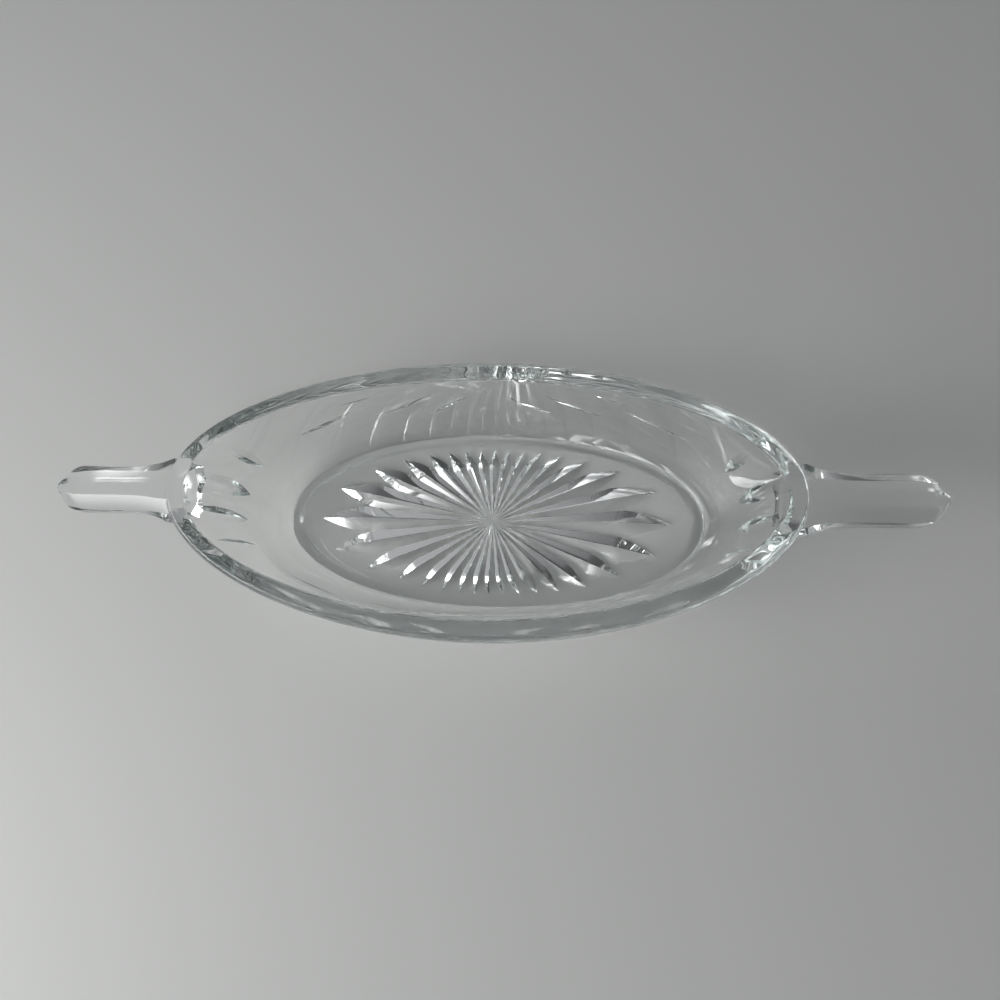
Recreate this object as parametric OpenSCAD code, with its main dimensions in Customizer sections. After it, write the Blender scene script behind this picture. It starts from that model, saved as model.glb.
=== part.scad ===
// Oval dish of clear pressed glass, with a star in its floor and a handle at each end.
// The long axis runs along X, and the foot stands on Z = 0 round the origin.
// The dish is one pressing. Its nodes are the regions of the mould that formed it: each is
// a closed solid, and neighbours meet face to face on surfaces made from the same functions.

/* [Bowl] */
// Length of the bowl at its rim, without the handles
rim_len = 165; // [140:1:190]
// Width of the bowl at its rim
rim_w = 75; // [66:0.5:90]
// Height of the rim at the middle of the long sides
side_h = 40.5; // [34:0.5:52]
// Rise of the rim from the middle of the sides to the ends
sheer = 6.5; // [0:0.5:10]
// How far each end leans out past the foot
end_flare = 18; // [10:0.5:22]
// How far each long side leans out past the foot
side_flare = 9.5; // [6:0.5:12]

/* [Rim] */
// Thickness of the glass across the rim
rim_t = 5.8; // [4.6:0.2:7.4]
// Height of the plain band round the mouth
band_h = 8; // [6:0.5:12]
// Width of the rounding on the outer edge
round_w = 2.2; // [1:0.2:3]
// Depth of the rounding on the outer edge
round_h = 4; // [2:0.2:5]
// Radius of the fire-polished inner edge
lip_r = 0.8; // [0.4:0.1:1.2]

/* [Floor and foot] */
// Thickness of the floor
floor_t = 5; // [4:0.2:7]
// Height of the foot ring under the floor
foot_h = 1; // [0.6:0.1:3]
// Width of the foot ring
ring_w = 3.5; // [2.5:0.1:5]
// Level border between the recess in the foot and the curve of the wall
border_w = 1.5; // [0.5:0.1:3]

/* [Star] */
// Number of rays
ray_count = 32; // [24:2:40]
// Plain glass past the long rays
star_end_gap = 7; // [3:0.5:12]
// Plain glass past the short rays
star_side_gap = 2.1; // [1:0.1:4]
// Slope of a ray's two flanks
ray_slope = 40; // [24:1:42]
// Ridge left between two rays
ridge_w = 0.25; // [0.1:0.05:0.5]

/* [Leaf cuts on the long walls] */
// Radius of the wheel that the leaf cuts follow
leaf_wheel_r = 140; // [110:5:170]
// Depth of the longest leaf cut
leaf_depth = 0.7; // [0.5:0.1:1]
// Half the angle of the wheel's edge
leaf_half_angle = 70; // [60:1:74]

/* [Flutes on the end walls] */
// Radius of the wheel that the flutes follow
flute_wheel_r = 50; // [40:1:60]
// Depth of a flute
flute_depth = 1.5; // [1:0.1:2]
// Half the angle of the wheel's edge
flute_half_angle = 64; // [50:1:66]
// Angle by which a flute leans outward, for each step away from the middle
flute_lean_angle = 3; // [0:1:8]
// Distance from the top of the handle down to the middle of the flutes
flute_drop = 17.5; // [16:0.5:22]
// Distance between the middles of two flutes
flute_pitch = 10.5; // [9:0.5:11]

/* [Handles] */
// Length of a handle past the rim
handle_len = 31.5; // [22:0.5:42]
// Width of the grip
grip_w = 12.4; // [10:0.2:15]
// Thickness of the grip
grip_t = 9.4; // [8:0.2:11]
// Width of the handle where it leaves the rim
root_w = 17.5; // [16:0.5:22]
// Depth of the handle where it leaves the rim
root_t = 11; // [10:0.5:13]
// Step from the rim down to the top of the handle
handle_drop = 0.9; // [0.3:0.1:2]

/* [Hidden] */
glass = [0.80, 0.86, 0.84, 0.75];

// Half lengths and half widths of the four ovals that shape the bowl
rim_a = rim_len / 2;
rim_b = rim_w / 2;
lip_a = rim_a - rim_t;
lip_b = rim_b - rim_t;
foot_a = rim_a - end_flare;
foot_b = rim_b - side_flare;
recess_a = foot_a - ring_w;
recess_b = foot_b - ring_w;
floor_a = recess_a + border_w;
floor_b = recess_b + border_w;
floor_z = foot_h + floor_t;
star_a = recess_a - star_end_gap;
star_b = recess_b - star_side_gap;

// Exponent of an oval: 2 is an ellipse, and less gives more pointed ends
foot_power = 2.08;
rim_power = 1.93;
star_power = 2.1;

// How the wall climbs: a small share curls fast out of the floor, 1 is a straight slope
outer_curve_share = 0.75;
end_cove_share = 0.62;
side_cove_share = 0.55;

// Spokes round the bowl, and the spoke on which an end wall meets a long wall
spoke_count = 120;
seam_spoke = 10;
wall_rows = 8;
round_rows = 4;
lip_rows = 2;

// Distance from the centre to an oval, along a spoke
function oval_r(a, b, power, ang) =
    pow(pow(abs(cos(ang)) / a, power) + pow(abs(sin(ang)) / b, power), -1 / power);

// Spokes are closest together at the pointed ends, as steps along an ellipse are
function spoke_angle(i) = let (t = 360 * i / spoke_count) atan2(rim_b * sin(t), rim_a * cos(t));

function mix(from, to, share) = from + (to - from) * share;

// Height of the rim over a spoke, which climbs towards the ends
function top_z(ang) =
    side_h + sheer * pow(oval_r(rim_a, rim_b, rim_power, ang) * cos(ang) / rim_a, 2);

// Outer face: distance from the centre at a height, from the foot to the widest line
function outer_r(ang, z) =
    let (share = (z - foot_h) / (top_z(ang) - round_h - foot_h),
         climb = pow(share, outer_curve_share))
    oval_r(mix(foot_a, rim_a, climb), mix(foot_b, rim_b, climb),
           mix(foot_power, rim_power, share), ang);

// Inner face: distance from the centre at a height, from the floor to the lip
function inner_r(ang, z) =
    let (share = (z - floor_z) / (top_z(ang) - floor_z))
    oval_r(mix(floor_a, lip_a, pow(share, end_cove_share)),
           mix(floor_b, lip_b, pow(share, side_cove_share)),
           mix(foot_power, rim_power, share), ang);

function oval_points(a, b, power) =
    [for (i = [0:spoke_count - 1])
        let (ang = spoke_angle(i), r = oval_r(a, b, power, ang))
        [r * cos(ang), r * sin(ang)]];

// Section of the wall on one spoke, as [distance, height], up the outside from the foot and
// down the inside to the recess. Rows are closest together in the curves at the bottom.
function wall_section(ang) =
    let (band_z = top_z(ang) - band_h,
         recess_r = oval_r(recess_a, recess_b, foot_power, ang))
    concat([for (i = [0:wall_rows])
               let (z = mix(foot_h, band_z, pow(i / wall_rows, 2))) [outer_r(ang, z), z]],
           [for (i = [wall_rows:-1:0])
               let (z = mix(floor_z, band_z, pow(i / wall_rows, 2))) [inner_r(ang, z), z]],
           [[recess_r, floor_z], [recess_r, foot_h]]);

// Outer edge of the rim on one spoke, from the plain band up round the edge to the level top
function edge_section(ang) =
    let (top = top_z(ang),
         widest_z = top - round_h,
         edge_r = outer_r(ang, widest_z),
         middle_z = mix(top - band_h, widest_z, 0.5))
    concat([[outer_r(ang, top - band_h), top - band_h], [outer_r(ang, middle_z), middle_z]],
           [for (i = [0:round_rows])
               let (turn = 90 * i / round_rows)
               [edge_r - round_w * (1 - cos(turn)), widest_z + round_h * sin(turn)]]);

// Section of the rim on one spoke: the outer edge, the level top, the polished lip and the
// inside down to the wall
function rim_section(ang) =
    let (top = top_z(ang), lip_edge_r = inner_r(ang, top))
    concat(edge_section(ang),
           [for (i = [0:lip_rows])
               let (turn = 90 * i / lip_rows)
               [lip_edge_r + lip_r * (1 - sin(turn)), top - lip_r * (1 - cos(turn))]],
           [[inner_r(ang, top - band_h), top - band_h]]);

function on_spoke(ang, section) = [for (p = section) [p[0] * cos(ang), p[0] * sin(ang), p[1]]];

// Solid swept through sections that all have as many points, each of them clockwise as the
// next one sees it
module sweep(sections, closed) {
    count = len(sections);
    loop = len(sections[0]);
    steps = closed ? count : count - 1;
    sides = [for (i = [0:steps - 1]) for (j = [0:loop - 1])
        let (a = i * loop + j,
             b = i * loop + (j + 1) % loop,
             c = ((i + 1) % count) * loop + (j + 1) % loop,
             d = ((i + 1) % count) * loop + j)
        each [[a, b, c], [a, c, d]]];
    first_cap = [for (j = [loop - 1:-1:0]) j];
    last_cap = [for (j = [0:loop - 1]) (count - 1) * loop + j];
    polyhedron(points = [for (section = sections) each section],
               faces = closed ? sides : concat(sides, [first_cap, last_cap]));
}

module wall_sector(first, last)
    sweep([for (i = [first:last])
        let (ang = spoke_angle(i)) on_spoke(ang, wall_section(ang))], false);

// One ray of the star: a groove with a V section, cut up into the floor from below. It
// widens with the gap between the spokes of the star, then draws in to a sharp point.
ray_widest_share = 0.74;
ray_start_share = 0.05;
hub_share = 0.2;
ray_rows = 4;
ray_tail_power = 1.6;
cut_depth = floor_t / 10;

function ray_half_w(share, length) =
    let (spread = tan(180 / ray_count) * length * min(share, ray_widest_share),
         tail = max(0, (share - ray_widest_share) / (1 - ray_widest_share)))
    max(0, spread - ridge_w / 2) * min(1, share / hub_share) * (1 - pow(tail, ray_tail_power));

module ray(length) {
    shares = concat([ray_start_share, hub_share],
        [for (i = [0:ray_rows]) mix(ray_widest_share, 1, i / ray_rows)]);
    sweep([for (share = shares)
        let (half_w = ray_half_w(share, length),
             foot_half_w = half_w + cut_depth / tan(ray_slope),
             x = share * length)
        [[x, 0, foot_h + half_w * tan(ray_slope)],
         [x, foot_half_w, foot_h - cut_depth],
         [x, -foot_half_w, foot_h - cut_depth]]], false);
}

module star_floor() color(glass)
    difference() {
        translate([0, 0, foot_h])
            linear_extrude(floor_t)
                polygon(oval_points(recess_a, recess_b, foot_power));
        for (i = [0:ray_count - 1])
            let (ang = 360 * i / ray_count)
            rotate([0, 0, ang]) ray(oval_r(star_a, star_b, star_power, ang));
    }

// The dish rests on this ring, which keeps the star's ridges off the table
module foot_ring() color(glass)
    linear_extrude(foot_h)
        difference() {
            polygon(oval_points(foot_a, foot_b, foot_power));
            polygon(oval_points(recess_a, recess_b, foot_power));
        }

// Places a wheel against the outside of the wall, its edge sunk by depth at the height z
// over the spoke ang. tilt turns the cut away from the upright.
module against_wall(ang, z, tilt, wheel_r, depth) {
    r = outer_r(ang, z);
    step_z = foot_h / 2;
    step_ang = 0.5;
    lean = atan2(outer_r(ang, z + step_z) - r, step_z);
    next_r = outer_r(ang + step_ang, z);
    across = [next_r * cos(ang + step_ang) - r * cos(ang),
              next_r * sin(ang + step_ang) - r * sin(ang)];
    facing = atan2(across[1], across[0]) - 90;
    translate([r * cos(ang), r * sin(ang), z])
        rotate([0, lean, facing])
            rotate([tilt, 0, 0])
                translate([wheel_r - depth, 0, 0])
                    rotate([90, 0, 0])
                        children();
}

// Wheel with a V edge, which leaves a cut as long and pointed as a leaf. Its edge is taken
// this many times as high as the cut is deep, so that its flanks clear the glass.
edge_height_share = 3;
wheel_steps = 180;

module cutting_wheel(wheel_r, depth, half_angle) {
    edge_h = depth * edge_height_share;
    rotate_extrude($fn = wheel_steps)
        polygon([[wheel_r, 0],
                 [wheel_r - edge_h, edge_h * tan(half_angle)],
                 [wheel_r - edge_h, -edge_h * tan(half_angle)]]);
}

// The spray of leaf cuts on one half of a long wall: the spoke that each lies on, its place
// between the foot and the rim, its depth against the longest, and its turn from upright
leaf_spokes = [29, 52, 70, 41];
leaf_height_shares = [0.62, 0.6, 0.54, 0.79];
leaf_depth_shares = [1, 0.8, 0.6, 0.35];
leaf_tilts = [-80, -67, -57, -85];

module leaf_cuts()
    for (half = [0, 1])
        mirror([half, 0, 0])
            for (i = [0:len(leaf_spokes) - 1])
                against_wall(leaf_spokes[i], side_h * leaf_height_shares[i], leaf_tilts[i],
                             leaf_wheel_r, leaf_depth * leaf_depth_shares[i])
                    cutting_wheel(leaf_wheel_r, leaf_depth, leaf_half_angle);

// Each end has four pointed flutes, half a step and one and a half steps from its middle. The
// outer two are shallower.
inner_step = 0.5;
outer_step = 1.5;
outer_depth_share = 0.6;

module flute(steps, depth_share) {
    middle_z = side_h + sheer - handle_drop - flute_drop;
    against_wall(asin(steps * flute_pitch / outer_r(0, middle_z)), middle_z,
                 steps * flute_lean_angle, flute_wheel_r, flute_depth * depth_share)
        cutting_wheel(flute_wheel_r, flute_depth, flute_half_angle);
}

// The handle's root, which the flutes below it leave whole
module root_block()
    translate([0, -root_w / 2, side_h + sheer - handle_drop - root_t])
        cube([rim_a, root_w, root_t + band_h]);

module long_wall()
    difference() {
        wall_sector(seam_spoke, spoke_count / 2 - seam_spoke);
        leaf_cuts();
    }

module back_wall() color(glass) long_wall();

module front_wall() color(glass) mirror([0, 1, 0]) long_wall();

module end_wall()
    difference() {
        wall_sector(-seam_spoke, seam_spoke);
        for (side = [0, 1])
            mirror([0, side, 0]) {
                flute(outer_step, outer_depth_share);
                difference() {
                    flute(inner_step, 1);
                    root_block();
                }
            }
    }

module right_end_wall() color(glass) end_wall();

module left_end_wall() color(glass) mirror([1, 0, 0]) end_wall();

module rim() color(glass)
    sweep([for (i = [0:spoke_count - 1])
        let (ang = spoke_angle(i)) on_spoke(ang, rim_section(ang))], true);

// Outer form of one end of the bowl, filled to its middle, which a handle is trimmed to
module end_block() {
    outsides = [for (i = [-seam_spoke:seam_spoke])
        let (ang = spoke_angle(i),
             edge = edge_section(ang),
             last = edge[len(edge) - 1])
        on_spoke(ang, concat(
            [for (k = [0:wall_rows - 1])
                let (z = mix(foot_h, top_z(ang) - band_h, pow(k / wall_rows, 2)))
                [outer_r(ang, z), z]],
            edge,
            [[last[0], side_h + sheer + lip_r]]))];
    sweep([for (k = [0:len(outsides[0]) - 1])
        concat([[0, 0, outsides[0][k][2]]],
               [for (i = [len(outsides) - 1:-1:0]) outsides[i][k]])], false);
}

// Eight-sided section of a handle, as shares of its width and of its thickness from the top
facet_w_shares = [0.19, 0.5, 0.5, 0.24];
facet_t_shares = [0, 0.32, 0.74, 1];
flare_power = 7;
tip_share = 0.34;
tip_t_share = 0.5;
handle_rows = 6;
end_rows = 4;

// The right handle, along +X. Its flared root starts inside the rim and is trimmed to it.
// Rows are closest together in the flare.
module handle() {
    tip_x = rim_a + handle_len;
    end_len = grip_w / 2;
    top = side_h + sheer - handle_drop;
    rows = concat(
        [[lip_a, 1]],
        [for (i = [0:handle_rows]) [mix(rim_a, tip_x - end_len, pow(i / handle_rows, 2)), 1]],
        [for (i = [1:end_rows])
            let (turn = 90 * i / end_rows)
            [tip_x - end_len * (1 - sin(turn)), max(cos(turn), tip_share)]]);
    difference() {
        sweep([for (row = rows)
            let (flare = pow(1 - min(1, max(0, (row[0] - rim_a) / handle_len)), flare_power),
                 w = mix(grip_w, root_w, flare) * row[1],
                 t = mix(grip_t, root_t, flare) * mix(tip_t_share, 1, row[1]),
                 z = top - grip_t * (1 - tip_t_share) * (1 - row[1]) / 2,
                 half = [for (k = [0:len(facet_w_shares) - 1])
                     [row[0], facet_w_shares[k] * w, z - facet_t_shares[k] * t]])
            concat(half, [for (k = [len(half) - 1:-1:0])
                [half[k][0], -half[k][1], half[k][2]]])], false);
        end_block();
    }
}

module right_handle() color(glass) handle();

module left_handle() color(glass) mirror([1, 0, 0]) handle();

star_floor();
foot_ring();
front_wall();
back_wall();
left_end_wall();
right_end_wall();
rim();
left_handle();
right_handle();
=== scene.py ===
# %% [markdown]
# A dish of pressed glass.
# The real dish is one gather of clear soda-lime glass, pressed in an iron mould: a boat-shaped
# bowl on a low foot ring, a star in the underside of its floor, leaf cuts and flutes on the
# outside of its walls, and a faceted handle at each end. Glass shows every surface twice, from
# outside and through itself, so the whole dish has to be one closed skin with nothing inside.
# The CAD parts meet face to face within the glass. Drawn as glass, those inner faces would
# bend the light, so here one new skin stands for all of them, in exactly the same place.

# %% The frame that everything is measured from
import math

import bmesh
import bpy
from mathutils import Matrix, Vector


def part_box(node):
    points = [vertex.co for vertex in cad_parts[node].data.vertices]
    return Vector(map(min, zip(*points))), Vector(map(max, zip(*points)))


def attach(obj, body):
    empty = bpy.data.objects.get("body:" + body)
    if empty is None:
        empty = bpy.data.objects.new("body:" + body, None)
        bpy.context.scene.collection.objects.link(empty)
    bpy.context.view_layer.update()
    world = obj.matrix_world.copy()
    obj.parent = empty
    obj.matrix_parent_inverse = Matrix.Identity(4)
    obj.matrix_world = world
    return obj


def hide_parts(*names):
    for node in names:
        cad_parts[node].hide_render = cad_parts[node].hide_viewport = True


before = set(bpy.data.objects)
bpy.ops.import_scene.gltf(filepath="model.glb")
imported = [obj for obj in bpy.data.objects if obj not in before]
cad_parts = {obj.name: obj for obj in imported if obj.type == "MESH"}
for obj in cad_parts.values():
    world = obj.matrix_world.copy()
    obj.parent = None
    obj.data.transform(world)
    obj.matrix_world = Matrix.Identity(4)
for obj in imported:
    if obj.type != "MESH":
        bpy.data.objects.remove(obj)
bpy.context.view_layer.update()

MM = 0.001
TAU = 2 * math.pi

rim_low, rim_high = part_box("rim")
foot_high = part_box("foot_ring")[1]
floor_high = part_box("star_floor")[1]
handle_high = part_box("right_handle")[1]

# %% [markdown]
# The sizes.
# Most of them come from the boxes of the CAD parts. The rest are the wall, the bands and the
# cuts, which a box can't tell. They are the same real sizes as in the part's own source, so
# that the skin lies where the solids are.

# %% Sizes of the bowl
RIM_T = 5.8 * MM
BAND_H = 8 * MM
ROUND_W = 2.2 * MM
ROUND_H = 4 * MM
LIP_R = 0.8 * MM
BORDER_W = 1.5 * MM

rim_a, rim_b = rim_high.x, rim_high.y
lip_a, lip_b = rim_a - RIM_T, rim_b - RIM_T
foot_a, foot_b, foot_h = foot_high
recess_a, recess_b, floor_z = floor_high
floor_a, floor_b = recess_a + BORDER_W, recess_b + BORDER_W
side_h = rim_low.z + BAND_H
sheer = rim_high.z - side_h

FOOT_POWER = 2.08
RIM_POWER = 1.93
STAR_POWER = 2.1
OUTER_CURVE = 0.75
END_COVE = 0.62
SIDE_COVE = 0.55
print(f"bowl {2 * rim_a / MM:.0f} x {2 * rim_b / MM:.0f} mm, sides {side_h / MM:.1f} mm high")


# %% [markdown]
# The oval.
# Seen from above, the dish is not an ellipse: its foot is a little squarer and its rim a
# little more pointed. One formula with a power gives all of them. At 2 it is an ellipse, more
# makes it squarer, and less makes its ends more pointed. The rim also climbs towards the ends,
# like the sheer of a boat.

# %% Oval, sheer and the two faces of the wall
def mix(start, end, share):
    return start + (end - start) * share


def oval(a, b, power, angle):
    """Distance from the middle to an oval, in the direction of an angle."""
    across = abs(math.cos(angle)) / a
    along = abs(math.sin(angle)) / b
    return (across ** power + along ** power) ** (-1 / power)


def top_z(angle):
    return side_h + sheer * (oval(rim_a, rim_b, RIM_POWER, angle) * math.cos(angle) / rim_a) ** 2


def outer_r(angle, z):
    """Outer face of the wall: it leaves the foot steeply and curls out to the rim."""
    share = max(0.0, (z - foot_h) / (top_z(angle) - ROUND_H - foot_h))
    climb = share ** OUTER_CURVE
    return oval(mix(foot_a, rim_a, climb), mix(foot_b, rim_b, climb),
                mix(FOOT_POWER, RIM_POWER, share), angle)


def inner_r(angle, z):
    """Inner face of the wall: a cove out of the floor, then a straighter slope to the lip."""
    share = max(0.0, (z - floor_z) / (top_z(angle) - floor_z))
    return oval(mix(floor_a, lip_a, share ** END_COVE), mix(floor_b, lip_b, share ** SIDE_COVE),
                mix(FOOT_POWER, RIM_POWER, share), angle)


# %% [markdown]
# One way to make a long form.
# By hand, a bowl or a handle is made from a circle: it is filled, then extruded and resized
# again and again, and each new ring is nudged into place. The same two tools are used here,
# and the nudge is worked out: every point of the circle gets a number, each extrusion carries
# the numbers along, and the new ring is laid on the next section by them.

# %% Helpers for modelling
def deselect_all():
    for item in bpy.context.selected_objects:
        item.select_set(False)


def pick(item):
    """Makes one object the only one selected, and the active one."""
    deselect_all()
    item.select_set(True)
    bpy.context.view_layer.objects.active = item


def lay_ring(item, section):
    """Puts the selected points of the mesh being edited on the points of a section."""
    shape = bmesh.from_edit_mesh(item.data)
    number = shape.verts.layers.int["ring_number"]
    for point in shape.verts:
        if point.select:
            point.co = section[point[number]]
    bmesh.update_edit_mesh(item.data)


def extrude_through(name, sections):
    """A closed solid that runs through sections, which all have as many points."""
    deselect_all()
    bpy.ops.mesh.primitive_circle_add(vertices=len(sections[0]), radius=1, fill_type="NGON")
    item = bpy.context.object
    item.name = name
    number = item.data.attributes.new("ring_number", "INT", "POINT")
    number.data.foreach_set("value", range(len(sections[0])))
    bpy.ops.object.mode_set(mode="EDIT")
    bpy.ops.mesh.select_all(action="SELECT")
    lay_ring(item, sections[0])
    for section in sections[1:]:
        bpy.ops.mesh.extrude_region_move()
        lay_ring(item, section)
    bpy.ops.mesh.select_all(action="SELECT")
    bpy.ops.mesh.normals_make_consistent(inside=False)
    bpy.ops.object.mode_set(mode="OBJECT")
    item.data.attributes.remove(item.data.attributes["ring_number"])
    return item


def combine(item, tool, operation):
    """Adds a tool's solid to an item's, or cuts it away, and takes the tool out."""
    pick(item)
    bpy.ops.object.modifier_add(type="BOOLEAN")
    modifier = item.modifiers[-1]
    modifier.object = tool
    modifier.operation = operation
    modifier.solver = "MANIFOLD"
    bpy.ops.object.modifier_apply(modifier=modifier.name)
    bpy.data.objects.remove(tool)
    print(f"{operation.lower()}: {item.name} has {len(item.data.polygons)} faces")


# %% [markdown]
# The bowl.
# The skin of the bowl is one unbroken sheet of rings. It starts on the level floor, rises up
# the cove and the inside of the wall, rolls over the fire-polished lip, crosses the level top
# of the rim, turns down over the rounded outer edge, and comes down the outside to the foot
# ring and into the recess under the floor. The rings lie close together where the glass
# curves, because light that passes through a coarse curve breaks up into bands.

# %% Bowl
SPOKES = 384
FLOOR_ROWS = 5
INSIDE_ROWS = 44
LIP_ROWS = 5
TOP_ROWS = 4
ROUND_ROWS = 12
OUTSIDE_ROWS = 40
FOOT_ROUND = 0.6 * MM
FOOT_ROWS = 4
RECESS_EDGE_W = 2.6 * MM
RECESS_SLOPE_W = 4.3 * MM
RECESS_ROWS = 10


def spoke(i):
    """Direction of a spoke. They crowd at the pointed ends, as steps along an ellipse do."""
    turn = TAU * i / SPOKES
    return math.atan2(rim_b * math.sin(turn), rim_a * math.cos(turn))


angles = [spoke(i) for i in range(SPOKES)]


def ring(radius, height):
    """Section points on all the spokes, from a radius and a height for each angle."""
    points = []
    for angle in angles:
        r = radius(angle)
        points.append(Vector((r * math.cos(angle), r * math.sin(angle), height(angle))))
    return points


def bowl_rings():
    """All the rings of the bowl's skin, in the order in which they are extruded."""
    rings = []
    for i in range(1, FLOOR_ROWS + 1):
        share = i / FLOOR_ROWS
        rings.append(ring(lambda t: oval(floor_a, floor_b, FOOT_POWER, t) * share,
                          lambda t: floor_z))
    for i in range(1, INSIDE_ROWS + 1):
        climb = (i / INSIDE_ROWS) ** 2

        def inside_z(t, climb=climb):
            return mix(floor_z, top_z(t) - LIP_R, climb)

        rings.append(ring(lambda t: inner_r(t, inside_z(t)), inside_z))
    for i in range(1, LIP_ROWS + 1):
        turn = math.pi / 2 * i / LIP_ROWS
        rings.append(ring(
            lambda t: inner_r(t, top_z(t) - LIP_R) + LIP_R * (1 - math.cos(turn)),
            lambda t: top_z(t) - LIP_R * (1 - math.sin(turn))))
    for i in range(1, TOP_ROWS):
        share = i / TOP_ROWS
        rings.append(ring(
            lambda t: mix(inner_r(t, top_z(t) - LIP_R) + LIP_R,
                          outer_r(t, top_z(t) - ROUND_H) - ROUND_W, share),
            top_z))
    for i in range(ROUND_ROWS + 1):
        turn = math.pi / 2 * i / ROUND_ROWS
        rings.append(ring(
            lambda t: outer_r(t, top_z(t) - ROUND_H) - ROUND_W * (1 - math.sin(turn)),
            lambda t: top_z(t) - ROUND_H * (1 - math.cos(turn))))
    for i in range(1, OUTSIDE_ROWS + 1):
        drop = 1 - (1 - i / OUTSIDE_ROWS) ** 2

        def outside_z(t, drop=drop):
            return mix(top_z(t) - ROUND_H, foot_h, drop)

        rings.append(ring(lambda t: outer_r(t, outside_z(t)), outside_z))
    for i in range(FOOT_ROWS + 1):
        turn = math.pi / 2 * i / FOOT_ROWS
        rings.append(ring(
            lambda t: oval(foot_a, foot_b, FOOT_POWER, t) - FOOT_ROUND * (1 - math.cos(turn)),
            lambda t: FOOT_ROUND * (1 - math.sin(turn))))
    for i in range(RECESS_ROWS + 1):
        share = i / RECESS_ROWS
        rings.append(ring(
            lambda t: (oval(recess_a, recess_b, FOOT_POWER, t) + RECESS_EDGE_W
                       - RECESS_SLOPE_W * share),
            lambda t: foot_h * share ** 2 * (3 - 2 * share)))
    return rings


dish = extrude_through("dish_glass", bowl_rings())
print("bowl:", len(dish.data.vertices), "points")

# %% [markdown]
# The star.
# Thirty-two rays spread from the middle of the floor, pressed into its underside. Each is a
# groove with a V section, as a mitre wheel leaves in cut glass: it widens until it touches its
# neighbours, then draws in to a sharp point. One ray is modelled as a long tool and cut away
# at each place round the middle. The rays differ only in length, because the star is as oval
# as the dish.

# %% Star
RAYS = 32
STAR_END_GAP = 7 * MM
STAR_SIDE_GAP = 2.1 * MM
RAY_SLOPE = math.radians(40)
RAY_WIDEST = 0.74
RAY_START = 0.02
RAY_TAIL_POWER = 1.6
RAY_TAIL_ROWS = 10
HUB_SHARE = 0.24
HUB_ROWS = 4
CUT_DEPTH = 0.5 * MM
SHORTEST = 0.002 * MM

star_a, star_b = recess_a - STAR_END_GAP, recess_b - STAR_SIDE_GAP


def ray_half_w(share, length):
    """Half the width of a ray, part of the way from the middle to its point."""
    spread = math.tan(math.pi / RAYS) * length * min(share, RAY_WIDEST)
    tail = max(0.0, (share - RAY_WIDEST) / (1 - RAY_WIDEST))
    return max(SHORTEST, spread * min(1, share / HUB_SHARE) * (1 - tail ** RAY_TAIL_POWER))


def ray_tool(angle):
    """The groove of one ray as a solid, from the middle of the floor to the ray's point."""
    length = oval(star_a, star_b, STAR_POWER, angle)
    shares = [mix(RAY_START, HUB_SHARE, i / HUB_ROWS) for i in range(HUB_ROWS)]
    shares += [HUB_SHARE, RAY_WIDEST / 2]
    shares += [mix(RAY_WIDEST, 1, i / RAY_TAIL_ROWS) for i in range(RAY_TAIL_ROWS + 1)]
    turn = Matrix.Rotation(angle, 4, "Z")
    sections = []
    for share in shares:
        half_w = ray_half_w(share, length)
        foot_w = half_w + CUT_DEPTH / math.tan(RAY_SLOPE)
        sections.append([
            turn @ Vector((share * length, 0, foot_h + half_w * math.tan(RAY_SLOPE))),
            turn @ Vector((share * length, foot_w, foot_h - CUT_DEPTH)),
            turn @ Vector((share * length, -foot_w, foot_h - CUT_DEPTH))])
    return extrude_through("ray", sections)


for i in range(RAYS):
    combine(dish, ray_tool(TAU * i / RAYS), "DIFFERENCE")

# %% [markdown]
# Leaf cuts and flutes.
# A glass cutter holds the dish against a turning wheel with a V edge. It leaves a leaf with a
# sharp vein, pointed at both ends. The mould copies such cuts: a spray of small leaves on each
# quarter of the long walls, and four longer flutes round each end. The surest way to get
# their shape is to sink the same wheels into the wall. A wheel is a disc, extruded and drawn in
# to its edge, and each cut takes a copy of it.

# %% Wheels against the wall
LEAF_WHEEL_R = 140 * MM
LEAF_DEPTH = 0.7 * MM
LEAF_HALF_ANGLE = math.radians(70)
FLUTE_WHEEL_R = 50 * MM
FLUTE_DEPTH = 1.5 * MM
FLUTE_HALF_ANGLE = math.radians(64)
FLUTE_LEAN = math.radians(3)
FLUTE_DROP = 17.5 * MM
FLUTE_PITCH = 10.5 * MM
FLUTES = [(-1.5, 0.6), (-0.5, 1), (0.5, 1), (1.5, 0.6)]
HANDLE_DROP = 0.9 * MM
EDGE_H_SHARE = 3
WHEEL_STEPS = 900
PROBE = 0.2 * MM


def cutting_wheel(name, wheel_r, depth, half_angle):
    """A wheel with a V edge: a disc whose two faces are extruded and drawn in."""
    edge_h = depth * EDGE_H_SHARE
    sections = []
    for side in (-1, 0, 1):
        r = wheel_r - abs(side) * edge_h
        z = side * edge_h * math.tan(half_angle)
        sections.append([Vector((r * math.cos(TAU * k / WHEEL_STEPS),
                                 r * math.sin(TAU * k / WHEEL_STEPS), z))
                         for k in range(WHEEL_STEPS)])
    return extrude_through(name, sections)


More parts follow.
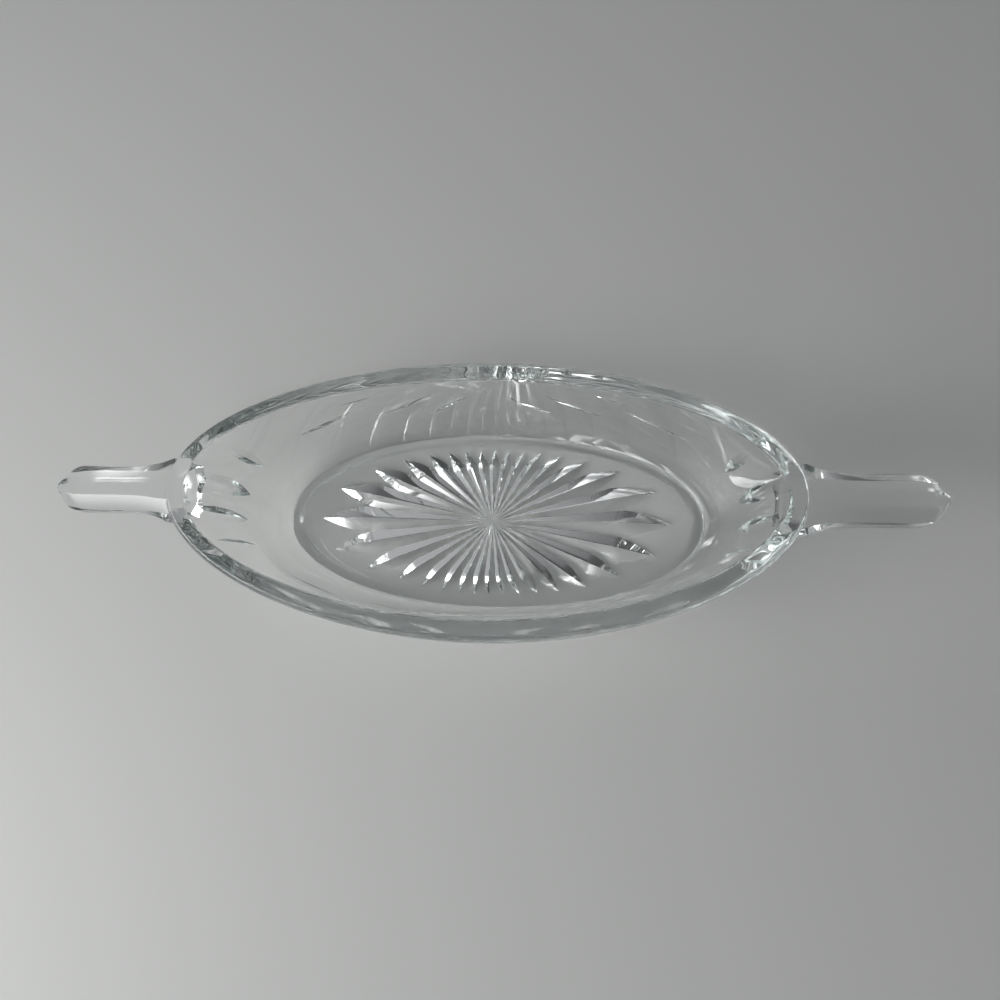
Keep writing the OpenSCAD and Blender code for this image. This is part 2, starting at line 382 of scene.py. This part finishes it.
def against_wall(wheel, angle, z, tilt, wheel_r, depth):
    """A copy of a wheel, turned upright, with its edge sunk into the outside of the wall."""
    r = outer_r(angle, z)
    here = Vector((r * math.cos(angle), r * math.sin(angle), z))
    above_r = outer_r(angle, z + PROBE)
    above = Vector((above_r * math.cos(angle), above_r * math.sin(angle), z + PROBE))
    beside_angle = angle + PROBE / r
    beside_r = outer_r(beside_angle, z)
    beside = Vector((beside_r * math.cos(beside_angle), beside_r * math.sin(beside_angle), z))
    along = (beside - here).normalized()
    out = along.cross(above - here).normalized()
    up = out.cross(along)
    run = up * math.cos(tilt) - along * math.sin(tilt)
    turn = Matrix((out, run, out.cross(run))).transposed().to_4x4()
    pick(wheel)
    bpy.ops.object.duplicate()
    copy = bpy.context.object
    copy.matrix_world = Matrix.Translation(here + out * (wheel_r - depth)) @ turn
    bpy.ops.object.transform_apply(location=True, rotation=True, scale=True)
    return copy


LEAVES = [
    {"spoke": 29, "height": 0.62, "depth": 1.0, "tilt": -80},
    {"spoke": 52, "height": 0.6, "depth": 0.8, "tilt": -67},
    {"spoke": 70, "height": 0.54, "depth": 0.6, "tilt": -57},
    {"spoke": 41, "height": 0.79, "depth": 0.35, "tilt": -85},
]

leaf_wheel = cutting_wheel("leaf_wheel", LEAF_WHEEL_R, LEAF_DEPTH, LEAF_HALF_ANGLE)
for leaf in LEAVES:
    for end in (0, 1):
        for side in (1, -1):
            base = math.radians(leaf["spoke"])
            angle = side * (math.pi - base if end else base)
            tilt = math.radians(leaf["tilt"]) * (-1 if end else 1) * side
            cut = against_wall(leaf_wheel, angle, side_h * leaf["height"], tilt, LEAF_WHEEL_R,
                               LEAF_DEPTH * leaf["depth"])
            combine(dish, cut, "DIFFERENCE")

print("leaf cuts:", 4 * len(LEAVES))
flute_wheel = cutting_wheel("flute_wheel", FLUTE_WHEEL_R, FLUTE_DEPTH, FLUTE_HALF_ANGLE)
flute_z = side_h + sheer - HANDLE_DROP - FLUTE_DROP
for end in (0, math.pi):
    for steps, depth in FLUTES:
        angle = end + math.asin(steps * FLUTE_PITCH / outer_r(0, flute_z))
        cut = against_wall(flute_wheel, angle, flute_z, FLUTE_LEAN * steps, FLUTE_WHEEL_R,
                           FLUTE_DEPTH * depth)
        combine(dish, cut, "DIFFERENCE")

print("flutes:", 2 * len(FLUTES))
for wheel in (leaf_wheel, flute_wheel):
    bpy.data.objects.remove(wheel)

# %% [markdown]
# The handles.
# Each handle is a stick with flat facets, which flares where it grows out of the rim and ends
# in a blunt tip. It is extruded from inside the glass of the rim outwards, so that its root is
# hidden, and then added to the bowl. Adding leaves no face between them, as in the real
# pressing. Its edges are rounded a little first, as fire polishing leaves them.

# %% Handles
GRIP_W = 12.4 * MM
GRIP_T = 9.4 * MM
ROOT_W = 17.5 * MM
ROOT_T = 11 * MM
FACET_W = [0.19, 0.5, 0.5, 0.24]
FACET_T = [0, 0.32, 0.74, 1]
FLARE_POWER = 7
TIP_SHARE = 0.34
TIP_T_SHARE = 0.5
HANDLE_ROWS = 24
END_ROWS = 8
EDGE_ROUND = 0.35 * MM
EDGE_SEGMENTS = 3
EDGE_ANGLE = math.radians(12)


def handle_sections():
    tip_x = handle_high.x
    end_len = GRIP_W / 2
    top = handle_high.z
    rows = [(lip_a, 1)]
    rows += [(mix(rim_a, tip_x - end_len, (i / HANDLE_ROWS) ** 2), 1)
             for i in range(HANDLE_ROWS + 1)]
    for i in range(1, END_ROWS + 1):
        turn = math.pi / 2 * i / END_ROWS
        rows.append((tip_x - end_len * (1 - math.sin(turn)), max(math.cos(turn), TIP_SHARE)))
    sections = []
    for x, share in rows:
        flare = (1 - min(1, max(0, (x - rim_a) / (tip_x - rim_a)))) ** FLARE_POWER
        w = mix(GRIP_W, ROOT_W, flare) * share
        t = mix(GRIP_T, ROOT_T, flare) * mix(TIP_T_SHARE, 1, share)
        z = top - GRIP_T * (1 - TIP_T_SHARE) * (1 - share) / 2
        half = [Vector((x, a * w, z - b * t)) for a, b in zip(FACET_W, FACET_T)]
        sections.append(half + [Vector((p.x, -p.y, p.z)) for p in reversed(half)])
    return sections


for end in (0, math.pi):
    handle = extrude_through("handle", handle_sections())
    pick(handle)
    bpy.ops.object.modifier_add(type="BEVEL")
    handle.modifiers[-1].width = EDGE_ROUND
    handle.modifiers[-1].segments = EDGE_SEGMENTS
    handle.modifiers[-1].limit_method = "ANGLE"
    handle.modifiers[-1].angle_limit = EDGE_ANGLE
    bpy.ops.object.modifier_apply(modifier=handle.modifiers[-1].name)
    handle.rotation_euler.z = end
    bpy.ops.object.transform_apply(location=False, rotation=True, scale=False)
    combine(dish, handle, "UNION")

# %% [markdown]
# Cleaning the skin.
# Cutting and adding leave points that lie on each other, and they are merged. Then the skin is
# shaded: the real dish has crisp edges where a cut meets the wall or two facets meet, and soft
# curves everywhere else, so only the edges that turn by less than a small angle are smoothed.

# %% Cleaning and shading
CREASE = math.radians(16)
MERGE = 0.002 * MM
pick(dish)
bpy.ops.object.mode_set(mode="EDIT")
bpy.ops.mesh.select_all(action="SELECT")
bpy.ops.mesh.remove_doubles(threshold=MERGE)
bpy.ops.mesh.normals_make_consistent(inside=False)
bpy.ops.object.mode_set(mode="OBJECT")
bpy.ops.object.shade_smooth_by_angle(angle=CREASE)
check = bmesh.new()
check.from_mesh(dish.data)
open_edges = sum(1 for e in check.edges if len(e.link_faces) != 2)
print("dish:", len(dish.data.polygons), "faces,", open_edges, "open or shared edges, volume",
      round(check.calc_volume() / MM ** 3), "mm3")
check.free()


# %% [markdown]
# Soda-lime glass.
# Pressed table glass is soda-lime glass, with an index of about 1.52. A little iron tints it
# grey-green, which shows only where the light travels a long way through it, as along the
# rim. So the surface is left clear, and the tint is an absorption inside. The mould leaves
# faint waves, and fire polishing softens them to a few hundredths of a millimetre.

# %% Material helpers
def linear(hex_colour):
    """A colour from sRGB hex to the linear values that Blender works in."""
    channels = [int(hex_colour[i:i + 2], 16) / 255 for i in (1, 3, 5)]
    return [c / 12.92 if c <= 0.04045 else ((c + 0.055) / 1.055) ** 2.4 for c in channels] + [1]


def add_node(tree, kind, settings=None, inputs=None):
    """Adds a node, sets its own settings, and sets or links its inputs."""
    node = tree.nodes.new(kind)
    for name, value in (settings or {}).items():
        setattr(node, name, value)
    for name, value in (inputs or {}).items():
        if isinstance(value, bpy.types.NodeSocket):
            tree.links.new(value, node.inputs[name])
        else:
            node.inputs[name].default_value = value
    return node


def new_material(name):
    material = bpy.data.materials.new(name)
    material.use_nodes = True
    material.node_tree.nodes.clear()
    return material, material.node_tree


# %% Glass
GLASS_IOR = 1.52
TINT = "#D3DDDB"
TINT_DEPTH = 120 * MM
WAVE = 9 * MM
WAVE_HEIGHT = 0.02 * MM

glass, tree = new_material("soda_lime_glass_fire_polished")
place = add_node(tree, "ShaderNodeTexCoord")
waves = add_node(tree, "ShaderNodeTexNoise", inputs={
    "Vector": place.outputs["Object"], "Scale": 1 / WAVE, "Detail": 1.0})
bump = add_node(tree, "ShaderNodeBump", inputs={
    "Height": waves.outputs["Fac"], "Distance": WAVE_HEIGHT, "Strength": 1.0})
surface = add_node(tree, "ShaderNodeBsdfPrincipled", inputs={
    "Base Color": (1, 1, 1, 1), "Roughness": 0.0, "IOR": GLASS_IOR,
    "Transmission Weight": 1.0, "Normal": bump.outputs["Normal"]})
depth = add_node(tree, "ShaderNodeVolumeAbsorption", inputs={
    "Color": linear(TINT), "Density": 1 / TINT_DEPTH})
add_node(tree, "ShaderNodeOutputMaterial", inputs={
    "Surface": surface.outputs["BSDF"], "Volume": depth.outputs["Volume"]})
dish.data.materials.clear()
dish.data.materials.append(glass)

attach(dish, "root")
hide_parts("star_floor", "foot_ring", "front_wall", "back_wall", "left_end_wall",
            "right_end_wall", "rim", "left_handle", "right_handle")
print("glass: index", GLASS_IOR, "tint", TINT, "per", round(TINT_DEPTH / MM), "mm")

# %% [markdown]
# The table.
# The dish stands on a plain pale surface with hardly any gloss. A single large plane is enough,
# a hair below the foot, so that the glass and the table never share a face. Clear glass has
# almost no colour of its own, so most of what is seen in the dish is this table.

# %% Table
FLOOR_SIZE = 4.0
TABLE_GAP = 0.02 * MM
TABLE_COLOUR = "#C3C4C2"
deselect_all()
bpy.ops.mesh.primitive_plane_add(size=FLOOR_SIZE, location=(0, 0, -TABLE_GAP))
floor = bpy.context.object
floor.name = "table"
table, tree = new_material("pale_laminate")
surface = add_node(tree, "ShaderNodeBsdfPrincipled", inputs={
    "Base Color": linear(TABLE_COLOUR), "Roughness": 0.6, "Specular IOR Level": 0.3})
add_node(tree, "ShaderNodeOutputMaterial", inputs={"Surface": surface.outputs["BSDF"]})
floor.data.materials.append(table)
print("table:", TABLE_COLOUR, "and", FLOOR_SIZE, "m wide")


# %% [markdown]
# The light.
# Glass is drawn by what it reflects: with the same light from all sides its cuts would vanish.
# So the light comes from one side, as from a window low at the left. A lamp near the table makes
# it fall off across the surface, and a room that is bright on that side and dim on the other
# gives each cut one light flank and one dark one. The lamp fades towards its edges, because a
# hard edge would be seen again in every facet.

# %% Light
LAMP_AT = (-0.5, -0.28, 0.4)
LAMP_SIZE = (0.9, 0.6)
LAMP_POWER = 13.0
LAMP_CORE, LAMP_EDGE = 0.1, 0.5
LAMP_AIM = (0, 0, 0.02)
ROOM_COLOUR = "#F2F4F6"
BRIGHT_SIDE = Vector((-0.85, -0.05, 0.35))
DIM_FROM, BRIGHT_FROM = -0.3, 0.75
DIM_LEVEL, BRIGHT_LEVEL = 0.06, 0.45


def softbox(name, place, size, power, aim):
    """A large lamp that fades towards its edges, as a curtained window does."""
    lamp = bpy.data.lights.new(name, "AREA")
    lamp.shape = "RECTANGLE"
    lamp.size, lamp.size_y = size
    lamp.energy = power
    lamp.use_nodes = True
    tree = lamp.node_tree
    tree.nodes.clear()
    place_on_lamp = add_node(tree, "ShaderNodeNewGeometry")
    from_middle = add_node(tree, "ShaderNodeVectorMath", {"operation": "DISTANCE"}, {
        0: place_on_lamp.outputs["Parametric"], 1: Vector((0.5, 0.5, 0))})
    fade = add_node(tree, "ShaderNodeMapRange", {"interpolation_type": "SMOOTHSTEP"}, {
        "Value": from_middle.outputs["Value"], "From Min": LAMP_EDGE, "From Max": LAMP_CORE,
        "To Min": 0.0, "To Max": 1.0})
    glow = add_node(tree, "ShaderNodeEmission", inputs={"Strength": fade.outputs["Result"]})
    add_node(tree, "ShaderNodeOutputLight", inputs={"Surface": glow.outputs["Emission"]})
    item = bpy.data.objects.new(name, lamp)
    bpy.context.scene.collection.objects.link(item)
    item.location = place
    item.rotation_euler = (Vector(aim) - Vector(place)).to_track_quat("-Z", "Y").to_euler()
    return item


lamp = softbox("window_side", LAMP_AT, LAMP_SIZE, LAMP_POWER, LAMP_AIM)

world = bpy.data.worlds.new("room")
bpy.context.scene.world = world
world.use_nodes = True
tree = world.node_tree
tree.nodes.clear()
direction = add_node(tree, "ShaderNodeTexCoord")
toward = add_node(tree, "ShaderNodeVectorMath", {"operation": "DOT_PRODUCT"},
                  {0: direction.outputs["Generated"], 1: BRIGHT_SIDE})
room = add_node(tree, "ShaderNodeMapRange", {"interpolation_type": "SMOOTHSTEP"}, {
    "Value": toward.outputs["Value"], "From Min": DIM_FROM, "From Max": BRIGHT_FROM,
    "To Min": DIM_LEVEL, "To Max": BRIGHT_LEVEL})
sky = add_node(tree, "ShaderNodeBackground", inputs={
    "Color": linear(ROOM_COLOUR), "Strength": room.outputs["Result"]})
add_node(tree, "ShaderNodeOutputWorld", inputs={"Surface": sky.outputs["Background"]})
print("lamp:", lamp.name, LAMP_POWER, "W, room from", DIM_LEVEL, "to", BRIGHT_LEVEL)

# %% [markdown]
# The camera.
# The view is nearly straight down from a hand's height above the table, tipped a little towards
# the near side. A wide lens this close makes the near rim look larger than the foot.

# %% Camera
FOCAL_PX = 751
FRAME_PX = 1000
SENSOR = 36.0
CAMERA_EL = math.radians(76.5)
CAMERA_AZ = math.radians(31.5)
CAMERA_ROLL = math.radians(-29.9)
CAMERA_AWAY = 231.66 * MM
LOOK_AT = Vector((2.2, 6.6, 3.2)) * MM
NEAREST = 5 * MM

back = Vector((math.sin(CAMERA_AZ) * math.cos(CAMERA_EL),
               -math.cos(CAMERA_AZ) * math.cos(CAMERA_EL), math.sin(CAMERA_EL)))
level_right = (-back).cross(Vector((0, 0, 1))).normalized()
level_up = level_right.cross(-back)
right = math.cos(CAMERA_ROLL) * level_right + math.sin(CAMERA_ROLL) * level_up
up = -math.sin(CAMERA_ROLL) * level_right + math.cos(CAMERA_ROLL) * level_up
camera_data = bpy.data.cameras.new("camera")
camera_data.sensor_width = SENSOR
camera_data.lens = SENSOR * FOCAL_PX / FRAME_PX
camera_data.clip_start = NEAREST
camera = bpy.data.objects.new("camera", camera_data)
bpy.context.scene.collection.objects.link(camera)
turn = Matrix((right, up, back)).transposed().to_4x4()
camera.matrix_world = Matrix.Translation(LOOK_AT + back * CAMERA_AWAY) @ turn
bpy.context.scene.camera = camera

bpy.context.scene.view_settings.view_transform = "Standard"
print("camera:", round(camera_data.lens, 1), "mm lens,", round(CAMERA_AWAY / MM), "mm away")

# %% [markdown]
# Light inside the glass.
# A ray that enters the rim can be reflected many times before it leaves again. A renderer that
# gives up too early draws black there, where real glass is grey, so the limits are raised. A
# slight blur on reflected light keeps single bright specks out of the shadow.

# %% Light paths
LIGHT_BOUNCES = 32
REFLECTION_BLUR = 0.1
cycles = bpy.context.scene.cycles
cycles.max_bounces = LIGHT_BOUNCES
cycles.transmission_bounces = LIGHT_BOUNCES
cycles.glossy_bounces = LIGHT_BOUNCES
cycles.blur_glossy = REFLECTION_BLUR
print("light paths: up to", cycles.max_bounces, "bounces")
